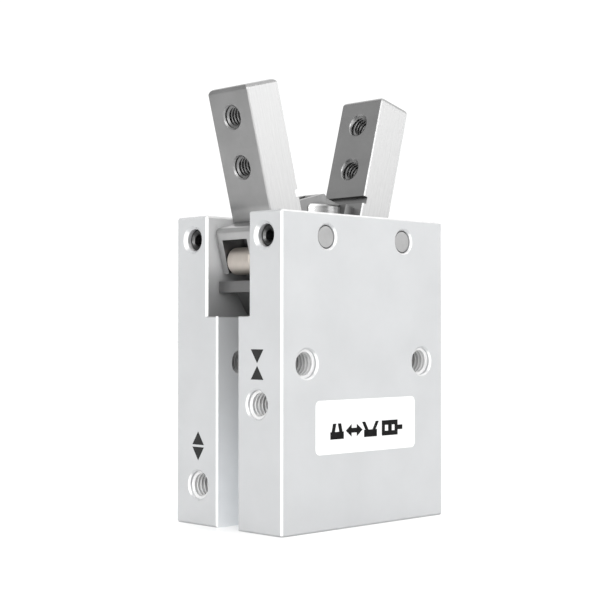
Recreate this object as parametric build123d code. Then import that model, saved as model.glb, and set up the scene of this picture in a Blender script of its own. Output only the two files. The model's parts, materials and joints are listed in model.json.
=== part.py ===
from build123d import *
import math
import os

os.makedirs("parts", exist_ok=True)

# Angular two-finger pneumatic gripper, 20 mm bore. Millimetres, +Z up, origin at the base centre.
# The front face is at -Y and the port face at -X. Every piece is drawn with the fingers fully open.

# Housing block
WIDTH = 42.0
DEPTH = 27.6
HEIGHT = 55.2
EDGE = 0.32
BORE_R = 10.0
CAVITY_HALF = 5.5
CAVITY_FLOOR = 37.2
GROOVE_HALF = 2.7
GROOVE_BOTTOM = 13.0
CAVITY_MOUTH = 0.36
GROOVE_MOUTH = 0.28

# Threaded holes, drawn at the thread's outer radius
M5_R = 2.5
M4_R = 2.0
MOUNT_X = 15.0
MOUNT_Z = 29.0
PORT_SHUT = (-7.6, 22.0)
PORT_OPEN = (7.8, 7.1)
PORT_DEPTH = 6.0
FEED_R = 1.0
MARK_SHUT = (7.7, 28.9)
MARK_OPEN = (-7.8, 14.1)
SCREW_Y = 9.4
SCREW_RECESS = 1.1
SCREW_MOUTH = 0.55

# Pivots and fingers
PIVOT_X = 10.0
PIVOT_Z = 51.0
PIVOT_R = 2.1
PIVOT_RECESS = 0.4
OPEN_ANGLE = 15.0
FINGER_HALF = 5.2
FINGER_OUT = -4.1
FINGER_IN = 3.6
FINGER_TOP = 28.4
FINGER_BASE = -3.95
TIP_ROUND = 0.9
HEEL_OUT = -9.1
HEEL_TOP = 4.3
HEEL_ROUND = 1.0
ARM_HALF = 3.1
ARM_END = 12.4
ARM_LOW = -1.7
ARM_HIGH = 6.05
ARM_STEP = 5.9
TONGUE_HALF = 1.5
BUSH_R = 2.9
ROLLER_R = 2.45
ROLLER_AT = (-6.95, -2.2)
ROLLER_HALF = 3.0
ROLLER_PIN_R = 0.9
ROLLER_SLOT_HALF = 3.2
ROLLER_SLOT_TOP = 2.15
ROLLER_SLOT_WALL = 0.1
UNDERCUT = (7.0, 8.4)
UNDERCUT_DEPTH = 0.9
FINGER_HOLES = (14.1, 23.1)

# Drive: the inner piston pulls the arms down, the outer piston lifts the heels
DRIVE_PIN_Z = 55.1
DRIVE_PIN_R = 1.5
DRIVE_PIN_FRONT = -4.4
DRIVE_PIN_BACK = 5.0
DRIVE_SLOT_HALF = 1.6
DRIVE_SLOT_START = (9.76, 1.456)
HEAD_R = 5.2
HEAD_ABOVE_PIN = 2.75
HEAD_BELOW_PIN = 6.2
HEAD_SLOT_FLOOR = 50.3
ROD_R = 2.5
ROD_END_R = 2.0
PISTON_R = 9.95
INNER_PISTON = (12.0, 20.0)
OUTER_PISTON = (23.6, 31.6)
SLEEVE_R = 4.0
SEAL_FLOOR_R = 8.2
PLATE_TOP = 43.5
PLATE_THICK = 2.1
PLATE_HALF_X = 18.3
RIB_LOW = 37.6

# Closed end of the bore
CAP = (2.2, 6.0)
SNAP_GROOVE = (1.1, 2.2)
SNAP_DEPTH = 0.65
SNAP_LUG = (2.3, -8.2)

FIT = 0.05


def at(point, direction):
    return Plane(origin=point, z_dir=direction)


def bar_along_y(radius, half_length, x=0.0, z=0.0):
    return Pos(x, 0, z) * Rot(90, 0, 0) * Cylinder(radius, 2 * half_length)


def ring(outer, inner, low, high):
    tube = Cylinder(outer, high - low) - Cylinder(inner, high - low)
    return Pos(0, 0, (low + high) / 2) * tube


def disc(radius, low, high):
    return Pos(0, 0, (low + high) / 2) * Cylinder(radius, high - low)


def slab(low, high):
    size = [b - a for a, b in zip(low, high)]
    middle = [(a + b) / 2 for a, b in zip(low, high)]
    return Pos(*middle) * Box(*size)


def hole(mouth, outward, radius, depth, chamfer_size):
    """A drilled hole with a chamfered mouth, running in from the mouth."""
    drill = Pos(0, 0, -depth / 2 + 0.25) * Cylinder(radius, depth + 0.5)
    reach = chamfer_size + 0.1
    cone = Pos(0, 0, 0.1 - reach / 2) * Cone(radius, radius + reach, reach)
    return at(mouth, outward) * (drill + cone)


def flare(half_width, size):
    """Section of the bevel along both edges of a slot, with the surface at y = 0."""
    return make_face(
        Polyline(
            (-half_width, -size),
            (half_width, -size),
            (half_width + size + 0.2, 0.2),
            (-half_width - size - 0.2, 0.2),
            close=True,
        )
    )


def save(name, shape):
    shape.label = name
    export_step(shape, f"parts/{name}.step")


def make_marks(depth):
    """Port symbols on the port face: tips together for shut, tips apart for open."""
    half, tall, gap = 1.6, 2.4, 0.2
    point_down = make_face(Polyline((-half, tall), (half, tall), (0, 0), close=True))
    point_up = make_face(Polyline((-half, 0), (half, 0), (0, tall), close=True))
    shut = Pos(0, gap) * point_down + Pos(0, -gap) * mirror(point_down, about=Plane.XZ)
    opened = Pos(0, gap) * point_up + Pos(0, -gap) * mirror(point_up, about=Plane.XZ)
    face = Plane(origin=(-WIDTH / 2, 0, 0), x_dir=(0, -1, 0), z_dir=(-1, 0, 0))
    symbols = face * Pos(MARK_SHUT[0], MARK_SHUT[1]) * extrude(shut, -depth)
    return symbols + face * Pos(MARK_OPEN[0], MARK_OPEN[1]) * extrude(opened, -depth)


def make_housing():
    block = chamfer(Box(WIDTH, DEPTH, HEIGHT).edges(), EDGE)
    block = Pos(0, 0, HEIGHT / 2) * block
    block -= slab((-WIDTH, -CAVITY_HALF, CAVITY_FLOOR), (WIDTH, CAVITY_HALF, HEIGHT + 1))
    block -= disc(BORE_R, -1, CAVITY_FLOOR + 1)
    block -= disc(BORE_R + SNAP_DEPTH, *SNAP_GROOVE)
    block -= Pos(0, 0, 0.2) * Cone(BORE_R + 0.9, BORE_R, 0.9)
    top_bevel = Plane(origin=(-WIDTH, 0, HEIGHT), x_dir=(0, 1, 0), z_dir=(1, 0, 0))
    block -= top_bevel * extrude(flare(CAVITY_HALF, CAVITY_MOUTH), 2 * WIDTH)
    for side in (-1, 1):
        x = side * WIDTH / 2
        block -= slab(
            (min(side * GROOVE_BOTTOM, 1.1 * x), -GROOVE_HALF, -1),
            (max(side * GROOVE_BOTTOM, 1.1 * x), GROOVE_HALF, CAVITY_FLOOR + 1),
        )
        bevel = Plane(origin=(x, 0, 0), x_dir=(0, -side, 0), z_dir=(0, 0, 1))
        block -= bevel * extrude(flare(GROOVE_HALF, GROOVE_MOUTH), CAVITY_FLOOR + 1)
        upper = Plane(origin=(x, 0, CAVITY_FLOOR), x_dir=(0, -side, 0), z_dir=(0, 0, 1))
        block -= upper * extrude(flare(CAVITY_HALF, CAVITY_MOUTH), HEIGHT)
        for y in (-SCREW_Y, SCREW_Y):
            block -= hole((x, y, PIVOT_Z), (side, 0, 0), M4_R, WIDTH / 2 - PIVOT_X, SCREW_MOUTH)
        block -= bar_along_y(PIVOT_R + 0.01, DEPTH, side * PIVOT_X, PIVOT_Z)
        block -= bar_along_y(M5_R, DEPTH, side * MOUNT_X, MOUNT_Z)
        for face in (-1, 1):
            y = face * DEPTH / 2
            block -= hole((side * PIVOT_X, y, PIVOT_Z), (0, face, 0), PIVOT_R + 0.01, 3, 0.3)
            block -= hole((side * MOUNT_X, y, MOUNT_Z), (0, face, 0), M5_R, 3, 0.3)
    for y, z in (PORT_SHUT, PORT_OPEN):
        block -= hole((-WIDTH / 2, y, z), (-1, 0, 0), M5_R, PORT_DEPTH, 0.3)
        block -= at((-WIDTH / 2, y, z), (-1, 0, 0)) * Pos(0, 0, -8) * Cylinder(FEED_R, 16)
    return block - make_marks(0.1)


def make_finger(forked):
    """One finger lever with its pivot at the origin, arm along +X and gripping bar along +Z."""
    lever = slab((FINGER_OUT, -FINGER_HALF, FINGER_BASE), (FINGER_IN, FINGER_HALF, FINGER_TOP))
    lever = fillet(lever.edges().group_by(Axis.Z)[-1], TIP_ROUND)
    lever = chamfer(lever.edges().filter_by(Axis.Z), 0.2)
    heel = slab((HEEL_OUT, -FINGER_HALF, FINGER_BASE), (FINGER_OUT + 1, FINGER_HALF, HEEL_TOP))
    rim = heel.edges().group_by(Axis.Z)[-1].filter_by(Axis.Y).sort_by(Axis.X)[:1]
    rim += heel.edges().group_by(Axis.Z)[-1].filter_by(Axis.X)
    rim += heel.edges().filter_by(Axis.Z).sort_by(Axis.X)[:2]
    heel = fillet(rim, HEEL_ROUND)
    arm = slab((0, -ARM_HALF, ARM_LOW), (ARM_END, ARM_HALF, ARM_HIGH))
    arm = chamfer(arm.edges().filter_by(Axis.Y).group_by(Axis.X)[-1], 0.4)
    lever += heel
    lever += arm
    lever -= slab(
        (HEEL_OUT - 1, -ROLLER_SLOT_HALF, FINGER_BASE - 1),
        (FINGER_OUT - ROLLER_SLOT_WALL, ROLLER_SLOT_HALF, ROLLER_SLOT_TOP),
    )
    lever -= slab((FINGER_IN - UNDERCUT_DEPTH, -6, UNDERCUT[0]), (FINGER_IN + 1, 6, UNDERCUT[1]))
    x, z = DRIVE_SLOT_START
    lever -= bar_along_y(DRIVE_SLOT_HALF, 6, x, z)
    lever -= Pos(x, 0, z) * Rot(0, 5, 0) * Pos(4, 0, 0) * Box(8, 12, 2 * DRIVE_SLOT_HALF)
    if forked:
        gap = TONGUE_HALF + 0.1
        lever -= slab((ARM_STEP, -gap, -6), (ARM_END + 1, gap, 7))
    else:
        for side in (-1, 1):
            low, high = sorted((side * TONGUE_HALF, side * 6))
            lever -= slab((ARM_STEP, low, -6), (ARM_END + 1, high, 7))
    lever -= bar_along_y(BUSH_R + 0.01, 8)
    lever -= bar_along_y(ROLLER_PIN_R + 0.01, 8, *ROLLER_AT)
    for z in FINGER_HOLES:
        lever -= hole((FINGER_OUT, 0, z), (-1, 0, 0), M4_R, 12, 0.25)
        lever -= hole((FINGER_IN, 0, z), (1, 0, 0), M4_R, 3, 0.25)
    return lever


def place(shape, side):
    """Swing a lever piece open and set it on the left (-1) or right (+1) pivot."""
    if side > 0:
        shape = mirror(shape, about=Plane.YZ)
    return Pos(side * PIVOT_X, 0, PIVOT_Z) * Rot(0, side * OPEN_ANGLE, 0) * shape


def make_set_screws():
    """Four cup-point screws, each from its cross pin out to just inside its mouth."""
    tip = PIVOT_X + PIVOT_R + FIT
    length = WIDTH / 2 - SCREW_RECESS - tip
    screw = chamfer(Cylinder(M4_R - 0.02, length).edges(), 0.25)
    socket = extrude(RegularPolygon(2.0 / math.sqrt(3), 6), 2.4)
    screw -= Pos(0, 0, length / 2 - 2.4) * socket
    screw -= Pos(0, 0, length / 2 - 0.15) * Cone(1.1, 1.5, 0.4)
    pieces = []
    for side in (-1, 1):
        for y in (-SCREW_Y, SCREW_Y):
            middle = side * (tip + length / 2)
            pieces.append(at((middle, y, PIVOT_Z), (side, 0, 0)) * screw)
    return Compound(children=pieces)


def make_snap_ring():
    low, high = SNAP_GROOVE[0] + FIT, SNAP_GROOVE[1] - FIT
    rim = BORE_R + SNAP_DEPTH - FIT
    x, y = SNAP_LUG
    clip = ring(rim, 8.4, low, high)
    clip += [Pos(side * x, y, 0) * disc(1.5, low, high) for side in (-1, 1)]
    clip -= slab((-0.9, -12, 0), (0.9, -5, 3))
    clip -= [Pos(side * x, y, 0) * disc(0.7, 0, 3) for side in (-1, 1)]
    return clip & disc(rim, low, high)


def make_end_cap():
    cap = disc(BORE_R - 0.02, *CAP)
    cap -= ring(BORE_R + 1, 8.6, 3.4, 5.0)
    cap -= disc(3.0, CAP[0] - 0.2, CAP[0] + 0.8)
    return cap


def make_piston_a():
    """The piston that shuts the fingers, with grooves for its seal, magnet and wear ring."""
    piston = disc(PISTON_R, *INNER_PISTON)
    piston -= ring(PISTON_R + 1, SEAL_FLOOR_R, 17.2, 19.0)
    piston -= ring(PISTON_R + 1, 7.6, 14.6, 16.4)
    piston -= ring(PISTON_R + 1, 9.2, 12.6, 14.0)
    piston -= disc(ROD_END_R + 0.01, 11, 21)
    piston -= disc(4.6, 11, 15.0)
    return piston


def make_nut():
    nut = extrude(RegularPolygon(7.0 / math.sqrt(3), 6), 2.4)
    nut = Pos(0, 0, 12.4) * nut
    nut &= Pos(0, 0, 13.6) * chamfer(Cylinder(4.1, 2.4).edges(), 0.3)
    return nut - disc(ROD_END_R + 0.01, 12, 15)


def drive_pin(radius, front, back):
    """A bar across the rod's head, which stops short of the head's front face."""
    length = back - front
    return Pos(0, (front + back) / 2, DRIVE_PIN_Z) * Rot(90, 0, 0) * Cylinder(radius, length)


def make_drive_rod():
    bottom = DRIVE_PIN_Z - HEAD_BELOW_PIN
    top = DRIVE_PIN_Z + HEAD_ABOVE_PIN
    rod = disc(ROD_END_R, 12.6, INNER_PISTON[1] + 0.1)
    rod += disc(ROD_R, INNER_PISTON[1], bottom + 0.5)
    rod += chamfer(disc(HEAD_R, bottom, top).edges(), 0.35)
    rod -= slab((-8, -ROLLER_SLOT_HALF, HEAD_SLOT_FLOOR), (8, ROLLER_SLOT_HALF, top + 1))
    rod -= drive_pin(DRIVE_PIN_R + 0.01, DRIVE_PIN_FRONT - FIT, 8)
    return rod


def make_piston_b():
    """The piston that opens the fingers, on the plate's sleeve."""
    low, high = OUTER_PISTON
    piston = disc(PISTON_R, low, high)
    piston -= ring(PISTON_R + 1, SEAL_FLOOR_R, 26.6, 28.4)
    piston -= disc(SLEEVE_R + 0.01, low - 1, high + 1)
    piston -= disc(6.2, low - 1, 25.0)
    return piston


def make_push_plate():
    low = PLATE_TOP - PLATE_THICK
    plate = slab((-PLATE_HALF_X, -FINGER_HALF, low), (PLATE_HALF_X, FINGER_HALF, PLATE_TOP))
    plate = chamfer(plate.edges().filter_by(Axis.Y), 0.1)
    rib = make_face(Polyline((-16, low), (-13.5, RIB_LOW), (13.5, RIB_LOW), (16, low), close=True))
    plate += Plane.XZ * Pos(0, 0, -ARM_HALF) * extrude(rib, 2 * ARM_HALF)
    plate += disc(4.5, OUTER_PISTON[1], low)
    plate += disc(SLEEVE_R, 24.0, OUTER_PISTON[1] + 0.1)
    plate -= disc(ROD_R + FIT, 20, 50)
    plate -= disc(3.4, 28.0, 29.6)
    plate -= disc(HEAD_R + 0.4, PLATE_TOP - 1.2, PLATE_TOP + 1)
    plate -= ring(4.6, 3.6, 24.3, 24.9)
    return plate


def make_label():
    outline = RectangleRounded(26.0, 9.4, 1.0)
    front = Plane(origin=(0, -DEPTH / 2, 17.9), x_dir=(1, 0, 0), z_dir=(0, -1, 0))
    return front * extrude(outline, 0.08)


def seal_ring(outer, inner, low, high):
    """A square-cut seal with softened lips."""
    lip = ring(outer, inner, low, high)
    return chamfer(lip.edges(), 0.2)


save("housing", make_housing())
save("port_marks", make_marks(0.08))
save("label", make_label())
save("end_cap", make_end_cap())
save("end_cap_oring", Pos(0, 0, 4.2) * Torus(9.33, 0.64))
save("snap_ring", make_snap_ring())
save("bumper", chamfer(ring(6.0, 3.0, 6.0, 8.2).edges().group_by(Axis.Z)[-1], 0.4))
save("set_screws", make_set_screws())

save("drive_rod", make_drive_rod())
save("drive_pin", chamfer(drive_pin(DRIVE_PIN_R, DRIVE_PIN_FRONT, DRIVE_PIN_BACK).edges(), 0.2))
save("piston_inner", make_piston_a())
save("piston_inner_seal", seal_ring(9.97, SEAL_FLOOR_R + FIT, 17.3, 18.9))
save("piston_magnet", ring(9.6, 7.65, 14.65, 16.35))
save("wear_ring", ring(9.97, 9.25, 12.65, 13.95))
save("piston_nut", make_nut())

save("push_plate", make_push_plate())
save("piston_outer", make_piston_b())
save("piston_outer_seal", seal_ring(9.97, SEAL_FLOOR_R + FIT, 26.7, 28.3))
save("rod_seal", Pos(0, 0, 28.8) * Torus(2.98, 0.4))
save("piston_clip", ring(5.6, 3.65, 24.35, 24.85))

for side, name in ((-1, "left"), (1, "right")):
    pin = bar_along_y(PIVOT_R, DEPTH / 2 - PIVOT_RECESS, side * PIVOT_X, PIVOT_Z)
    save(f"pivot_pin_{name}", chamfer(pin.edges().filter_by(GeomType.CIRCLE), 0.25))
    save(f"finger_{name}", place(make_finger(forked=side < 0), side))
    bush = bar_along_y(BUSH_R, FINGER_HALF) - bar_along_y(PIVOT_R + FIT, 6)
    save(f"bush_{name}", place(bush, side))
    x, z = ROLLER_AT
    roller = bar_along_y(ROLLER_R, ROLLER_HALF, x, z)
    roller = chamfer(roller.edges().filter_by(GeomType.CIRCLE), 0.3)
    roller -= bar_along_y(ROLLER_PIN_R + FIT, 4, x, z)
    save(f"roller_{name}", place(roller, side))
    save(f"roller_pin_{name}", place(bar_along_y(ROLLER_PIN_R, 5.0, x, z), side))
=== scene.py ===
import json
import math

import bpy
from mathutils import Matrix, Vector


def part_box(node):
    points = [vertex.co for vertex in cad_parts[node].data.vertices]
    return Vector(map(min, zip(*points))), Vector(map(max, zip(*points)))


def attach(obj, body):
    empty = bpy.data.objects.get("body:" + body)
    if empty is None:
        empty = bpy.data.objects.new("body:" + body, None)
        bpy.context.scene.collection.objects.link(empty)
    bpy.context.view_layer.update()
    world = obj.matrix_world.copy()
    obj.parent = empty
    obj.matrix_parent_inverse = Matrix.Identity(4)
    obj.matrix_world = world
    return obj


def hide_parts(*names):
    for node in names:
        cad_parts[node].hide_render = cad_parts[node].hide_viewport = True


MM = 0.001
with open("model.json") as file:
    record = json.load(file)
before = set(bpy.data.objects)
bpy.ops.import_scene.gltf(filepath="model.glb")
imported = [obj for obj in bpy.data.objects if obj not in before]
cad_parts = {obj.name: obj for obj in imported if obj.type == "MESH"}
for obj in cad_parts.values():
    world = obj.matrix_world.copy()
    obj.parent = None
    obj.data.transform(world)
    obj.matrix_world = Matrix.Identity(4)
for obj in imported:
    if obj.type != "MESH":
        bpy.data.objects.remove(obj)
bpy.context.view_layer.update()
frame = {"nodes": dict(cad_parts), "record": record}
nodes = frame["nodes"]
mounts = {mount["name"]: mount for mount in frame["record"]["mounts"]}

# Threads, by the hole's radius in mm: pitch, and the bevel at the hole's mouth
M5_R = 2.5
M4_R = 2.0
PITCH = {M5_R: 0.8 * MM, M4_R: 0.7 * MM}
MOUTH_BEVEL = {M5_R: 0.3 * MM, M4_R: 0.25 * MM}
PORT_DEPTH = 6 * MM
JAW_HALF_SPAN = 3.85 * MM

# A ridge's section as shares of its pitch, and how it is drawn
RIDGE_HEIGHT = 0.541
RIDGE_ROOT_HALF = 0.46
RIDGE_FLANK = math.tan(math.radians(30))
RIDGE_SUNK = 0.02 * MM
RIDGE_CORNERS = 4
STEPS_PER_TURN = 28
FADE_IN_STEPS = 4
FADE_OUT_STEPS = 8

# Distances from the block's middle plane, where its finishes and its painted light and shade
# change
CAVITY_HALF = 5.5 * MM
GROOVE_HALF = 2.7 * MM
BROAD_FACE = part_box("finger_left")[1][1]
ARM_HALF = 3.1 * MM
CAVITY_FLOOR = 37.2 * MM

# Directions that the bevels with a painted highlight face: the front left corner, and the front
# face's top edge
NEAR_CORNER = (-0.707, -0.707, 0)
TOP_EDGE = (0, -0.707, 0.707)

OPEN_ANGLE = math.radians(15)

# Label: ink thickness, corner radius, and how far the symbols' feet are below its middle
INK_THICKNESS = 0.012 * MM
LABEL_CORNER = 1.0 * MM
PRINT_DROP = 2.15 * MM

# Sockets of a colour mix node, which share their names with its other sockets
MIX_FIRST, MIX_SECOND, MIX_RESULT = 6, 7, 2


# ---- materials -------------------------------------------------------------------------------

# Nearly all of a noise texture lies between these values
NOISE_LOW, NOISE_HIGH = 0.3, 0.7


class Nodes:
    """A material's node tree with short ways to add and join nodes."""

    def __init__(self, name):
        self.material = bpy.data.materials.new(name)
        self.material.use_nodes = True
        self.tree = self.material.node_tree
        self.shader = self.tree.nodes["Principled BSDF"]

    def add(self, kind, **settings):
        node = self.tree.nodes.new(kind)
        for key, value in settings.items():
            if hasattr(node, key):
                setattr(node, key, value)
            else:
                node.inputs[key.replace("_", " ")].default_value = value
        return node

    def join(self, source, output, target, socket):
        self.tree.links.new(source.outputs[output], target.inputs[socket])


def noise(nodes_of, size, detail=4.0, turn=0.0, roughness=0.55):
    """Noise over the piece's own coordinates, with one feature size in mm along each axis."""
    place = nodes_of.add("ShaderNodeTexCoord")
    mapping = nodes_of.add("ShaderNodeMapping", vector_type="TEXTURE")
    mapping.inputs["Rotation"].default_value = (0, turn, 0)
    mapping.inputs["Scale"].default_value = [length * MM for length in size]
    texture = nodes_of.add("ShaderNodeTexNoise", Scale=1.0, Detail=detail, Roughness=roughness)
    nodes_of.join(place, "Object", mapping, "Vector")
    nodes_of.join(mapping, "Vector", texture, "Vector")
    return texture


def colour_ramp(nodes_of, texture, dark, light):
    """A texture turned into a blend of two colours."""
    ramp = nodes_of.add("ShaderNodeValToRGB")
    ramp.color_ramp.elements[0].position = NOISE_LOW
    ramp.color_ramp.elements[1].position = NOISE_HIGH
    ramp.color_ramp.elements[0].color = (*dark, 1)
    ramp.color_ramp.elements[1].color = (*light, 1)
    nodes_of.join(texture, "Fac", ramp, "Fac")
    return ramp


def remap(nodes_of, source, output, start, end, low=0.0, high=1.0, interpolation="LINEAR"):
    """A change from the low value at the start to the high value at the end."""
    change = nodes_of.add("ShaderNodeMapRange", interpolation_type=interpolation)
    change.inputs["From Min"].default_value = start
    change.inputs["From Max"].default_value = end
    change.inputs["To Min"].default_value = low
    change.inputs["To Max"].default_value = high
    nodes_of.join(source, output, change, "Value")
    return change


def step_between(nodes_of, source, output, start, end):
    """A smooth change from 0 at the start value to 1 at the end value."""
    return remap(nodes_of, source, output, start, end, interpolation="SMOOTHSTEP")


def vary_roughness(nodes_of, texture, low, high):
    spread = remap(nodes_of, texture, "Fac", NOISE_LOW, NOISE_HIGH, low, high)
    nodes_of.join(spread, "Result", nodes_of.shader, "Roughness")


def relief(nodes_of, texture, depth):
    bump = nodes_of.add("ShaderNodeBump", Strength=1.0, Distance=depth)
    nodes_of.join(texture, "Fac", bump, "Height")
    nodes_of.join(bump, "Normal", nodes_of.shader, "Normal")


def surface(name, dark, light, metallic, rough, grain, depth, mottle=11):
    """A procedural finish: broad colour mottle, fine grain in the gloss, and shallow relief."""
    made = Nodes(name)
    made.shader.inputs["Metallic"].default_value = metallic
    broad = noise(made, even(mottle), detail=5.0)
    fine = noise(made, grain, detail=3.0)
    blend = colour_ramp(made, broad, dark, light)
    made.join(blend, "Color", made.shader, "Base Color")
    vary_roughness(made, fine, *rough)
    relief(made, fine, depth)
    return made


def grey(value, warmth=0.0):
    return (value * (1 + warmth), value, value * (1 - warmth))


def even(size):
    """One feature size along all three axes."""
    return (size, size, size)


def position(nodes_of):
    """The piece's own coordinates, split into X, Y and Z."""
    place = nodes_of.add("ShaderNodeTexCoord")
    split = nodes_of.add("ShaderNodeSeparateXYZ")
    nodes_of.join(place, "Object", split, "Vector")
    return split


def size_of(nodes_of, split, axis):
    away = nodes_of.add("ShaderNodeMath", operation="ABSOLUTE")
    nodes_of.join(split, axis, away, "Value")
    return away


def overlap(nodes_of, first, second):
    """The product of two changes between 0 and 1: where both hold."""
    product = nodes_of.add("ShaderNodeMath", operation="MULTIPLY")
    nodes_of.join(first, 0, product, 0)
    nodes_of.join(second, 0, product, 1)
    return product


def mix_base(nodes_of, mix, source, output):
    """Put a colour mix between the shader and whatever coloured it before."""
    before = nodes_of.shader.inputs["Base Color"].links[0].from_socket
    nodes_of.tree.links.new(before, mix.inputs[MIX_FIRST])
    nodes_of.join(source, output, mix, MIX_SECOND)
    nodes_of.join(mix, MIX_RESULT, nodes_of.shader, "Base Color")


def recolour(nodes_of, amount, texture, dark, light):
    """Blend the shader's colour towards a second mottled colour by an amount from 0 to 1."""
    blend = colour_ramp(nodes_of, texture, dark, light)
    mix = nodes_of.add("ShaderNodeMix", data_type="RGBA")
    nodes_of.join(amount, 0, mix, "Factor")
    mix_base(nodes_of, mix, blend, "Color")


def painted_bevel_highlight(nodes_of, toward, dark, light):
    """Painted highlight: a lighter colour on the bevels that face one way, such as the corner
    between two faces.
    """
    place = nodes_of.add("ShaderNodeTexCoord")
    facing = nodes_of.add("ShaderNodeVectorMath", operation="DOT_PRODUCT")
    facing.inputs[1].default_value = toward
    nodes_of.join(place, "Normal", facing, 0)
    bevel = step_between(nodes_of, facing, "Value", 0.80, 0.96)
    recolour(nodes_of, bevel, noise(nodes_of, even(1.5)), dark, light)


def shaded_recess(nodes_of, reach, darkest, within=None):
    """Darken the colour where other surfaces stand close, as painted shade in a recess.

    With a limit, only surfaces nearer to the middle plane than that are darkened."""
    near = nodes_of.add("ShaderNodeAmbientOcclusion", Distance=reach)
    shade = remap(nodes_of, near, "AO", 0.15, 0.75, low=darkest)
    mix = nodes_of.add("ShaderNodeMix", data_type="RGBA", blend_type="MULTIPLY")
    mix.inputs["Factor"].default_value = 1.0
    if within is not None:
        from_middle = size_of(nodes_of, position(nodes_of), "Y")
        middle = step_between(nodes_of, from_middle, "Value", within, within - 0.3 * MM)
        nodes_of.join(middle, "Result", mix, "Factor")
    mix_base(nodes_of, mix, shade, "Result")


def anodised():
    """Blasted and clear-anodised aluminium, with painted light high in the cavity, painted shade
    low in it, a groove that turns lighter towards the bottom, and painted highlights on the
    bevels.
    """
    made = surface("anodised", grey(0.44, -0.015), grey(0.475, -0.015), metallic=0.2,
                   rough=(0.40, 0.48), grain=even(0.3), depth=0.012 * MM)
    split = position(made)
    from_middle = size_of(made, split, "Y")
    fine = noise(made, even(4))

    # Painted light inside the cavity: a lighter colour high up, near its opening.
    in_cavity = step_between(made, from_middle, "Value", CAVITY_HALF + 0.2 * MM,
                             CAVITY_HALF - 0.1 * MM)
    high = step_between(made, split, "Z", 42 * MM, 48 * MM)
    recolour(made, overlap(made, in_cavity, high), fine, grey(0.58), grey(0.64))

    # Painted shade inside the cavity: a darker colour low down, above its floor.
    low = step_between(made, split, "Z", 47.5 * MM, 40 * MM)
    above_floor = step_between(made, split, "Z", CAVITY_FLOOR - 0.2 * MM, CAVITY_FLOOR - 0.1 * MM)
    cavity_low_shade = overlap(made, in_cavity, overlap(made, low, above_floor))
    recolour(made, cavity_low_shade, fine, grey(0.18), grey(0.22))

    # Inside the groove the colour turns lighter towards the bottom.
    in_groove = step_between(made, from_middle, "Value", GROOVE_HALF + 0.14 * MM,
                             GROOVE_HALF + 0.04 * MM)
    downwards = step_between(made, split, "Z", 40 * MM, -4 * MM)
    groove = overlap(made, in_groove, downwards)
    recolour(made, groove, fine, grey(0.76, -0.02), grey(0.80, -0.02))

    # Painted highlights on the bevels that face the front face's top edge and the near corner.
    painted_bevel_highlight(made, TOP_EDGE, grey(0.60), grey(0.68))
    painted_bevel_highlight(made, NEAR_CORNER, grey(0.74), grey(0.84))
    return made.material


def ground_steel(name, turn):
    """A finger: ground broad faces with streaks along it, duller edges left from milling, a
    lighter heel, painted shade on the arm and painted shade where other surfaces stand close.
    """
    made = Nodes(name)
    made.shader.inputs["Metallic"].default_value = 1.0
    streak = noise(made, (0.32, 40, 5), detail=4.0, turn=turn, roughness=0.7)
    mottle = noise(made, even(6), turn=turn)
    dull = colour_ramp(made, mottle, grey(0.24), grey(0.27))
    made.join(dull, "Color", made.shader, "Base Color")
    split = position(made)
    from_middle = size_of(made, split, "Y")
    from_centre = size_of(made, split, "X")

    broad = step_between(made, from_middle, "Value", BROAD_FACE - 0.25 * MM,
                         BROAD_FACE - 0.10 * MM)
    recolour(made, broad, streak, grey(0.33), grey(0.43))

    # Painted shade on the arm between the fingers: a darker colour near the middle plane and the
    # centre.
    narrow = step_between(made, from_middle, "Value", ARM_HALF + 0.3 * MM, ARM_HALF + 0.1 * MM)
    inward = step_between(made, from_centre, "Value", 7.8 * MM, 7.5 * MM)
    recolour(made, overlap(made, narrow, inward), mottle, grey(0.16), grey(0.19))

    # The heel, outward and below the shank, gets a lighter colour.
    outward = step_between(made, from_centre, "Value", 14.6 * MM, 15.2 * MM)
    below_shank = step_between(made, split, "Z", 57 * MM, 56 * MM)
    recolour(made, overlap(made, outward, below_shank), mottle, grey(0.32), grey(0.38))

    # Painted shade where other surfaces stand close, except on the broad faces.
    shaded_recess(made, 1.8 * MM, 0.12, within=BROAD_FACE - 0.3 * MM)
    vary_roughness(made, streak, 0.28, 0.42)
    relief(made, streak, 0.01 * MM)
    return made.material


def rod_steel():
    """Polished rod, with a painted dark reflection across the middle of the head's broad faces.
    """
    made = surface("rod_steel", grey(0.78), grey(0.86), metallic=1.0, rough=(0.16, 0.26),
                   grain=(3.0, 0.2, 0.3), depth=0.004 * MM, mottle=2)
    split = position(made)
    # Painted reflection: a darker grey within about 4 mm of the middle, along X.
    middle = step_between(made, size_of(made, split, "X"), "Value", 4.0 * MM, 1.6 * MM)
    recolour(made, middle, noise(made, (3, 3, 0.35)), grey(0.20), grey(0.30))
    return made.material


def turned_steel(name, value, rough, warmth=0.0):
    """Turned metal, with fine marks round the cross pins' direction."""
    return surface(name, grey(value * 0.92, warmth), grey(value, warmth), metallic=1.0,
                   rough=rough, grain=(3.0, 0.2, 3.0), depth=0.004 * MM, mottle=2).material


def machined(name, value):
    """Milled or turned metal, with marks round the bore's direction."""
    return surface(name, grey(value * 0.9), grey(value), metallic=1.0, rough=(0.3, 0.42),
                   grain=(2.5, 2.5, 0.25), depth=0.006 * MM).material


def tapped_aluminium():
    """The threads of the block, under a thin anodised layer, with painted light: lighter than the
    block's faces, so the insides of the holes look evenly lit.
    """
    return surface("tapped_aluminium", grey(0.62), grey(0.70), metallic=0.2, rough=(0.35, 0.45),
                   grain=even(0.3), depth=0.006 * MM, mottle=1.5).material


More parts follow.
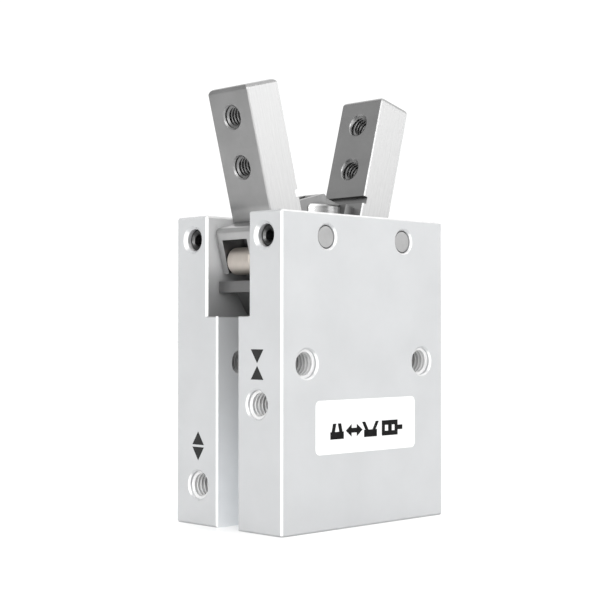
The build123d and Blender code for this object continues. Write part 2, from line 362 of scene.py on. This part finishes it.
def black_oxide():
    """Black finished screws and clips, with a painted highlight on their bevels that face the
    near corner, and painted shade in their recesses.
    """
    made = surface("black_oxide", grey(0.03), grey(0.06), metallic=0.85, rough=(0.32, 0.5),
                   grain=even(0.4), depth=0.01 * MM, mottle=1.1)
    # Painted highlight on the bevels facing the near corner, and painted shade in the recesses.
    painted_bevel_highlight(made, NEAR_CORNER, grey(0.10), grey(0.16))
    shaded_recess(made, 1.2 * MM, 0.1)
    return made.material


def bronze():
    return surface("sintered_bronze", (0.40, 0.27, 0.13), (0.52, 0.36, 0.18), metallic=1.0,
                   rough=(0.4, 0.6), grain=even(0.15), depth=0.02 * MM, mottle=0.5).material


def rubber():
    return surface("nitrile_rubber", grey(0.012), grey(0.03), metallic=0.0, rough=(0.55, 0.75),
                   grain=even(0.35), depth=0.01 * MM, mottle=2).material


def plastic(name, dark, light):
    return surface(name, dark, light, metallic=0.0, rough=(0.4, 0.55), grain=even(0.4),
                   depth=0.008 * MM, mottle=2.5).material


def ink(name, dark, light):
    """Matt print, with hardly any shine."""
    made = surface(name, dark, light, metallic=0.0, rough=(0.8, 0.95), grain=even(0.4),
                   depth=0.002 * MM, mottle=1.5)
    made.shader.inputs["Specular IOR Level"].default_value = 0.08
    return made.material


def label_film():
    return surface("label_film", grey(0.71), grey(0.74), metallic=0.0, rough=(0.34, 0.44),
                   grain=even(0.7), depth=0.004 * MM, mottle=3).material


def white_paper():
    return surface("white_paper", grey(0.92), grey(0.935), metallic=0.0, rough=(0.75, 0.9),
                   grain=even(2), depth=0.01 * MM, mottle=120).material


FINISHES = {
    "anodised": anodised(),
    "left_ground": ground_steel("ground_steel_left", -OPEN_ANGLE),
    "right_ground": ground_steel("ground_steel_right", OPEN_ANGLE),
    "polished": turned_steel("polished_steel", 0.80, (0.14, 0.24)),
    "rod": rod_steel(),
    "tapped": machined("tapped_steel", 0.19),
    "tapped_block": tapped_aluminium(),
    "pin": turned_steel("ground_pin", 0.31, (0.34, 0.46)),
    "roller": turned_steel("bearing_steel", 0.47, (0.50, 0.60), warmth=0.085),
    "plate": machined("plate_steel", 0.21),
    "machined": machined("machined_aluminium", 0.70),
    "black": black_oxide(),
    "bronze": bronze(),
    "rubber": rubber(),
    "magnet": plastic("bonded_magnet", grey(0.03), grey(0.06)),
    "acetal": plastic("acetal", grey(0.70, 0.02), grey(0.78, 0.02)),
    "film": label_film(),
    "ink": ink("black_ink", grey(0.006), grey(0.012)),
    "mark": ink("engraving_fill", grey(0.024), grey(0.034)),
    "paper": white_paper(),
}

NODE_FINISH = {
    "anodised": ["housing"],
    "left_ground": ["finger_left"],
    "right_ground": ["finger_right"],
    "rod": ["drive_rod"],
    "polished": ["drive_pin", "roller_pin_left", "roller_pin_right", "piston_nut"],
    "pin": ["pivot_pin_left", "pivot_pin_right"],
    "roller": ["roller_left", "roller_right"],
    "plate": ["push_plate"],
    "machined": ["end_cap", "piston_inner", "piston_outer"],
    "black": ["set_screws", "snap_ring", "piston_clip"],
    "bronze": ["bush_left", "bush_right"],
    "rubber": ["end_cap_oring", "bumper", "piston_inner_seal", "piston_outer_seal", "rod_seal"],
    "magnet": ["piston_magnet"],
    "acetal": ["wear_ring"],
    "film": ["label"],
    "mark": ["port_marks"],
}


def dress(obj, finish):
    obj.data.materials.clear()
    obj.data.materials.append(FINISHES[finish])


def dress_cad_nodes():
    for finish, names in NODE_FINISH.items():
        for name in names:
            dress(nodes[name], finish)


# ---- pieces added to the CAD frame -----------------------------------------------------------


def add_piece(name, points, faces, finish, body):
    mesh = bpy.data.meshes.new(name)
    mesh.from_pydata([tuple(point) for point in points], [], faces)
    mesh.validate()
    mesh.update()
    piece = bpy.data.objects.new(name, mesh)
    bpy.context.scene.collection.objects.link(piece)
    dress(piece, finish)
    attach(piece, body)
    return piece


def across(direction):
    """Two unit vectors square to a direction, the first of them nearest to (-1, -1, 0)."""
    corner = Vector((-1, -1, 0))
    first = (corner - direction * corner.dot(direction)).normalized()
    return first, direction.cross(first)


def add_thread(name, mouth, outward, radius_mm, length, finish, body):
    """An internal thread's ridge, from a hole's bevelled mouth inwards."""
    pitch = PITCH[radius_mm]
    bevel = MOUTH_BEVEL[radius_mm]
    wall = radius_mm * MM
    crest = wall - RIDGE_HEIGHT * pitch
    root_half = RIDGE_ROOT_HALF * pitch
    first, second = across(outward)
    start = bevel + root_half
    turns = (length - start - root_half) / pitch
    sections = int(turns * STEPS_PER_TURN)
    points = []
    for step in range(sections + 1):
        depth = start + step * pitch / STEPS_PER_TURN
        angle = -math.tau * step / STEPS_PER_TURN
        spoke = first * math.cos(angle) + second * math.sin(angle)
        lead_in = wall + bevel - depth
        end_fade = min(1.0, step / FADE_IN_STEPS, (sections - step) / FADE_OUT_STEPS)
        height = (wall - max(crest, lead_in)) * end_fade
        crest_half = root_half - height * RIDGE_FLANK
        rows = ((wall + RIDGE_SUNK, -root_half), (wall - height, -crest_half),
                (wall - height, crest_half), (wall + RIDGE_SUNK, root_half))
        for radius, shift in rows:
            points.append(mouth - outward * (depth + shift) + spoke * radius)
    faces = [tuple(range(RIDGE_CORNERS))]
    for step in range(sections):
        here = RIDGE_CORNERS * step
        there = here + RIDGE_CORNERS
        for side in range(RIDGE_CORNERS):
            other = (side + 1) % RIDGE_CORNERS
            faces.append((here + side, there + side, there + other, here + other))
    last = RIDGE_CORNERS * sections
    faces.append(tuple(reversed(range(last, last + RIDGE_CORNERS))))
    piece = add_piece(name, points, faces, finish, body)
    piece.data.polygons.foreach_set("use_smooth", [True] * len(piece.data.polygons))
    for edge in piece.data.edges:
        runs_along = abs(edge.vertices[0] - edge.vertices[1]) == RIDGE_CORNERS
        edge.use_edge_sharp = runs_along


def add_block_threads():
    """Ridges in the screw holes, down to the sensor grooves, and in the two ports."""
    for side in ("front", "back"):
        mount = mounts[f"{side}_screws"]
        centre = Vector(mount["pos_m"])
        length = abs(centre.y) - GROOVE_HALF
        for hand, name in ((-1, "left"), (1, "right")):
            mouth = centre + Vector((hand * mount["dims"]["spacing_x_mm"] * MM / 2, 0, 0))
            add_thread(f"{side}_{name}_thread", mouth, Vector(mount["axis"]), M5_R, length,
                       "tapped_block", "block")
    port_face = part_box("housing")[0][0]
    for name in ("port_shut", "port_open"):
        mount = mounts[name]
        mouth = Vector((port_face, mount["pos_m"][1], mount["pos_m"][2]))
        add_thread(f"{name}_thread", mouth, Vector(mount["axis"]), M5_R, PORT_DEPTH,
                   "tapped_block", "block")


def add_finger_threads():
    """Ridges in the four jaw holes, from the outer side of each finger to the inner side."""
    for hand in ("left", "right"):
        for place in ("lower", "upper"):
            mount = mounts[f"{hand}_jaw_{place}"]
            outward = Vector(mount["axis"]).normalized()
            mouth = Vector(mount["pos_m"]) + outward * JAW_HALF_SPAN
            add_thread(f"{hand}_{place}_jaw_thread", mouth, outward, M4_R, 2 * JAW_HALF_SPAN,
                       "tapped", f"{hand}_finger")


def prism(outline, front, back):
    """Points and faces of an outline in X and Z, given round the way that faces -Y."""
    count = len(outline)
    points = [(x, front, z) for x, z in outline] + [(x, back, z) for x, z in outline]
    faces = [tuple(range(count)), tuple(reversed(range(count, 2 * count)))]
    for here in range(count):
        there = (here + 1) % count
        faces.append((there, here, here + count, there + count))
    return points, faces


def rounded_outline(low_x, high_x, low_z, high_z, radius, steps=8):
    outline = []
    corners = ((high_x - radius, low_z + radius, -90), (high_x - radius, high_z - radius, 0),
               (low_x + radius, high_z - radius, 90), (low_x + radius, low_z + radius, 180))
    for x, z, start in corners:
        for step in range(steps + 1):
            angle = math.radians(start + 90 * step / steps)
            outline.append((x + radius * math.cos(angle), z + radius * math.sin(angle)))
    return outline


def rectangle(x, z, width, height):
    return [(x, z), (x + width, z), (x + width, z + height), (x, z + height)]


def arrow_head(x, way, low, high):
    corners = [(x, low), (x + way * 1.5, (low + high) / 2), (x, high)]
    return corners if way > 0 else corners[::-1]


def gripper_symbol(x, lean, shoulder, tall, stroke):
    """A solid body with two fingers whose tips lean in or out by the lean."""
    shapes = [rectangle(x - 1.7, 0, 3.4, shoulder)]
    half = stroke / 2
    for way in (-1, 1):
        foot = x + way * 0.95
        tip = foot + way * lean
        shapes.append([(foot - half, shoulder), (foot + half, shoulder),
                       (tip + half, tall), (tip - half, tall)])
    return shapes


def cylinder_symbol(left, right, tall, stroke):
    """An open cylinder with a piston inside and its rod standing out on the right."""
    inside = tall - 2 * stroke
    return [
        rectangle(left, 0, right - left, stroke),
        rectangle(left, tall - stroke, right - left, stroke),
        rectangle(left, stroke, stroke, inside),
        rectangle(left + 1.7, stroke, 1.0, inside),
        rectangle(right - stroke, stroke, stroke, inside),
        rectangle(right, (tall - stroke) / 2, 1.3, stroke),
    ]


def label_symbols():
    """A shut gripper, a two-way arrow, an open gripper and a cylinder, in mm from the middle."""
    stroke, shoulder, tall = 0.85, 1.3, 2.75
    margin = 0.25
    shapes = gripper_symbol(-7.7, -0.35, shoulder, tall, stroke)
    shapes.append(arrow_head(-4.0, -1, margin, tall - margin))
    shapes.append(rectangle(-4.0, (tall - stroke) / 2, 1.3, stroke))
    shapes.append(arrow_head(-2.7, 1, margin, tall - margin))
    shapes += gripper_symbol(0.9, 0.85, shoulder, tall, stroke)
    shapes += cylinder_symbol(3.9, 8.2, tall, stroke)
    return shapes


def add_label():
    """The film label, with a plain row of gripper symbols in place of lettering."""
    low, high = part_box("label")
    face = low[1] + INK_THICKNESS
    outline = rounded_outline(low[0], high[0], low[2], high[2], LABEL_CORNER)
    points, faces = prism(outline, face, high[1])
    film = add_piece("label_plate", points, faces, "film", "block")
    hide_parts("label")

    centre_x = (low[0] + high[0]) / 2
    base_z = (low[2] + high[2]) / 2 - PRINT_DROP
    all_points, all_faces = [], []
    for shape in label_symbols():
        placed = [(centre_x + x * MM, base_z + z * MM) for x, z in shape]
        points, faces = prism(placed, low[1], face)
        offset = len(all_points)
        all_points += points
        all_faces += [tuple(index + offset for index in indices) for indices in faces]
    add_piece("label_print", all_points, all_faces, "ink", "block")


# ---- stage -----------------------------------------------------------------------------------


CAMERA_AT = Vector((-180.3, -180.2, 34.85)) * MM
CAMERA_HEADING = (0.701, 0.713)
CAMERA_PITCH = math.radians(1.24)
LENS = 82.33
SENSOR = 36.0

# Square soft boxes in metres: place, side, radiance and the point aimed at
MIDDLE = (0, 0, 0.04)
FLOOR_BEHIND = (1.5, 1.5, 0)
SOFT_BOXES = {
    "key_right": ((0.42, -0.50, 0.27), 0.38, 1.9, MIDDLE),
    "camera_fill": ((-0.42, -0.42, 0.30), 0.25, 5.0, MIDDLE),
    "left_fill": ((-0.58, -0.15, 0.16), 0.4, 3.2, MIDDLE),
    "back_left": ((-0.32, 0.38, 0.27), 0.34, 0.52, MIDDLE),
    "overhead": ((0.0, 0.05, 0.60), 0.7, 0.7, MIDDLE),
    "floor_wash": ((1.5, 1.5, 1.3), 2.6, 0.45, FLOOR_BEHIND),
}

# Surroundings: white, falling to grey round one direction as the cosine from it rises
GREY_TOWARD = (-0.70, 0.70, 0.14)
FADE_COSINES = (0.35, 0.90)
FADE_BRIGHTNESS = (1.08, 0.42)
FLOOR_HALF = 3.0


def add_camera():
    data = bpy.data.cameras.new("photo_camera")
    camera = bpy.data.objects.new("photo_camera", data)
    bpy.context.scene.collection.objects.link(camera)
    camera.location = CAMERA_AT
    level = math.cos(CAMERA_PITCH)
    look = Vector((CAMERA_HEADING[0] * level, CAMERA_HEADING[1] * level, math.sin(CAMERA_PITCH)))
    camera.rotation_euler = look.to_track_quat("-Z", "Y").to_euler()
    data.sensor_width = SENSOR
    data.lens = LENS
    data.clip_start = 0.01
    bpy.context.scene.camera = camera


def add_light(name, place, side, radiance, aim):
    data = bpy.data.lights.new(name, "AREA")
    data.size = side
    data.energy = radiance * math.pi * side * side
    light = bpy.data.objects.new(name, data)
    bpy.context.scene.collection.objects.link(light)
    light.location = place
    light.rotation_euler = (Vector(aim) - Vector(place)).to_track_quat("-Z", "Y").to_euler()


def add_world():
    """Soft white surroundings that fall to grey behind the left of the object."""
    world = bpy.data.worlds.new("studio")
    bpy.context.scene.world = world
    world.use_nodes = True
    tree = world.node_tree
    place = tree.nodes.new("ShaderNodeTexCoord")
    toward = tree.nodes.new("ShaderNodeVectorMath")
    toward.operation = "DOT_PRODUCT"
    toward.inputs[1].default_value = GREY_TOWARD
    fade = tree.nodes.new("ShaderNodeMapRange")
    fade.interpolation_type = "SMOOTHSTEP"
    fade.inputs["From Min"].default_value = FADE_COSINES[0]
    fade.inputs["From Max"].default_value = FADE_COSINES[1]
    fade.inputs["To Min"].default_value = FADE_BRIGHTNESS[0]
    fade.inputs["To Max"].default_value = FADE_BRIGHTNESS[1]
    tree.links.new(place.outputs["Generated"], toward.inputs[0])
    tree.links.new(toward.outputs["Value"], fade.inputs["Value"])
    tree.links.new(fade.outputs["Result"], tree.nodes["Background"].inputs["Color"])
    tree.nodes["Background"].inputs["Strength"].default_value = 1.0


def add_floor():
    corners = [(-FLOOR_HALF, -FLOOR_HALF, 0), (FLOOR_HALF, -FLOOR_HALF, 0),
               (FLOOR_HALF, FLOOR_HALF, 0), (-FLOOR_HALF, FLOOR_HALF, 0)]
    mesh = bpy.data.meshes.new("floor")
    mesh.from_pydata(corners, [], [(0, 1, 2, 3)])
    floor = bpy.data.objects.new("floor", mesh)
    bpy.context.scene.collection.objects.link(floor)
    dress(floor, "paper")


def add_studio():
    for name, (place, side, radiance, aim) in SOFT_BOXES.items():
        add_light(name, place, side, radiance, aim)
    add_world()
    add_floor()
    bpy.context.scene.view_settings.view_transform = "Standard"


dress_cad_nodes()
add_block_threads()
add_finger_threads()
add_label()
add_camera()
add_studio()
